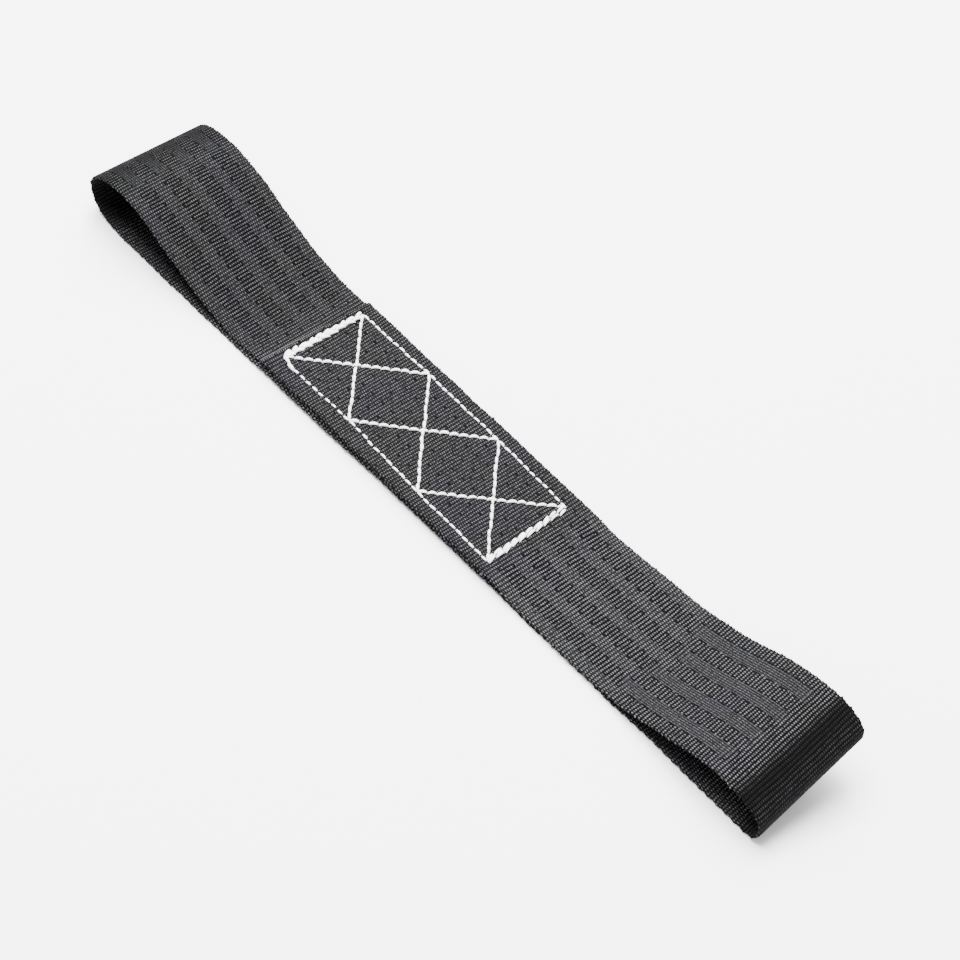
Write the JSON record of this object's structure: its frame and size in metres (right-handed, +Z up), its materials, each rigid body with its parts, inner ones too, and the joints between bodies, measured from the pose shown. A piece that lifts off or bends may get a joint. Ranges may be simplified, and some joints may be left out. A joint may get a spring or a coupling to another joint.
{
  "type": "soft loop strap",
  "caption": "Flat webbing loop strap: both ends of one webbing folded to the middle, overlapped and box-X sewn, leaving a soft open eye at each end for tie-down hooks",
  "frame": {"origin": "On the floor under the middle of the strap's bounding box", "axes": "+X along the strap towards the eye that leans over, +Y across the webbing, +Z up from the floor it lies on"},
  "size_m": [0.3966, 0.05, 0.0334],
  "materials": {
    "webbing": "charcoal woven polyester, ribbed across, slight sheen",
    "thread": "white bonded polyester thread"
  },
  "bodies": {
    "root": {"webbing_loop": "webbing", "needle_thread": "thread", "bobbin_thread": "thread"}
  },
  "joints": []
}
